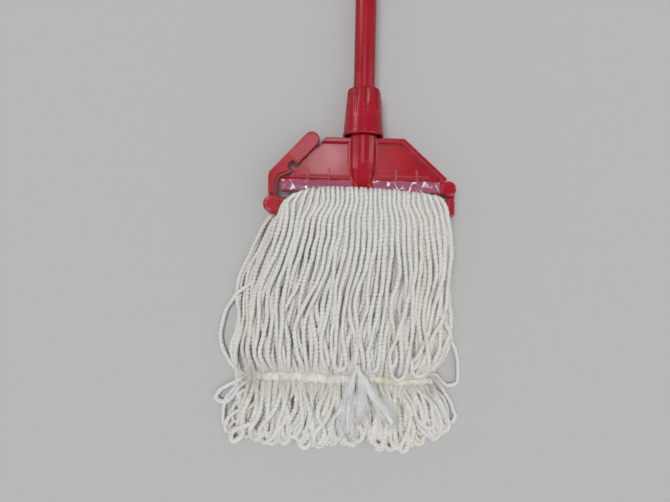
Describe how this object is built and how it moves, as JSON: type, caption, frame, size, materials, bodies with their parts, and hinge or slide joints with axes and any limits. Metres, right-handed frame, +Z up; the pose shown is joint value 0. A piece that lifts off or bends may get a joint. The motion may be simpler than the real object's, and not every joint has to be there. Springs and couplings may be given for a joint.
{
  "type": "string mop",
  "caption": "Looped-end string mop: a hinged side-lever clamp grips the yarn's head band, and a collar nut locks a long tube handle with a hanging cap.",
  "frame": {"origin": "on the floor below the handle's axis, at the middle of the sewn band behind the tail, with the mop lying on its back", "axes": "+X to the right of the picture, +Y from the yarn along the handle to its hanging cap, +Z up out of the floor"},
  "size_m": [0.2405, 1.5396, 0.0437],
  "materials": {
    "clamp_plastic": "moulded red plastic with a soft gloss",
    "handle_paint": "smooth red coating on a steel tube",
    "cap_plastic": "moulded red plastic, satin",
    "ring_plastic": "plain white plastic",
    "pin_steel": "plain drawn steel",
    "clear_film": "clear crinkled wrapping film",
    "cotton_yarn": "plied natural cotton yarn",
    "band_cloth": "sewn cotton band",
    "tuft_thread": "loose white thread"
  },
  "bodies": {
    "clamp": {"clamp_body": "clamp_plastic", "hinge_pin": "pin_steel", "jaw_film": "clear_film"},
    "handle": {"handle_tube": "handle_paint", "hanger_cap": "cap_plastic"},
    "collar_ring": {"thrust_ring": "ring_plastic"},
    "collar_nut": {"lock_nut": "clamp_plastic"},
    "gate": {"gate_bar": "clamp_plastic", "lever_pin": "pin_steel", "head_band": "band_cloth", "front_yarn_1": "cotton_yarn", "front_yarn_2": "cotton_yarn", "front_yarn_3": "cotton_yarn", "front_yarn_4": "cotton_yarn", "front_yarn_5": "cotton_yarn", "back_yarn_1": "cotton_yarn", "back_yarn_2": "cotton_yarn", "back_yarn_3": "cotton_yarn", "back_yarn_4": "cotton_yarn", "back_yarn_5": "cotton_yarn", "tail_band_front": "band_cloth", "tail_band_back": "band_cloth", "tie_tuft": "tuft_thread"},
    "lever": {"release_lever": "clamp_plastic"}
  },
  "joints": [
    {"name": "gate_swing", "type": "hinge", "parent": "clamp", "child": "gate", "pos_m": [0.0892, 0.20459, 0.022], "axis": [0, 0, 1], "range_deg": [0, 15]},
    {"name": "lever_release", "type": "hinge", "parent": "gate", "child": "lever", "pos_m": [-0.093, 0.18559, 0.022], "axis": [0, 0, 1], "range_deg": [0, 120]},
    {"name": "handle_pull", "type": "slide", "parent": "clamp", "child": "handle", "axis": [0, 1, 0], "range_m": [0, 0.08]},
    {"name": "ring_slide", "type": "slide", "parent": "clamp", "child": "collar_ring", "axis": [0, 1, 0], "range_m": [0, 0.006]},
    {"name": "nut_turn", "type": "hinge", "parent": "collar_ring", "child": "collar_nut", "pos_m": [0, 0.25819, 0.022], "axis": [0, 1, 0], "range_deg": [0, 540]}
  ],
  "couplings": [
    {"joint": "lever_release", "follows": "gate_swing", "ratio": 8},
    {"joint": "ring_slide", "follows": "nut_turn", "m_per_rad": 0.00063662}
  ]
}
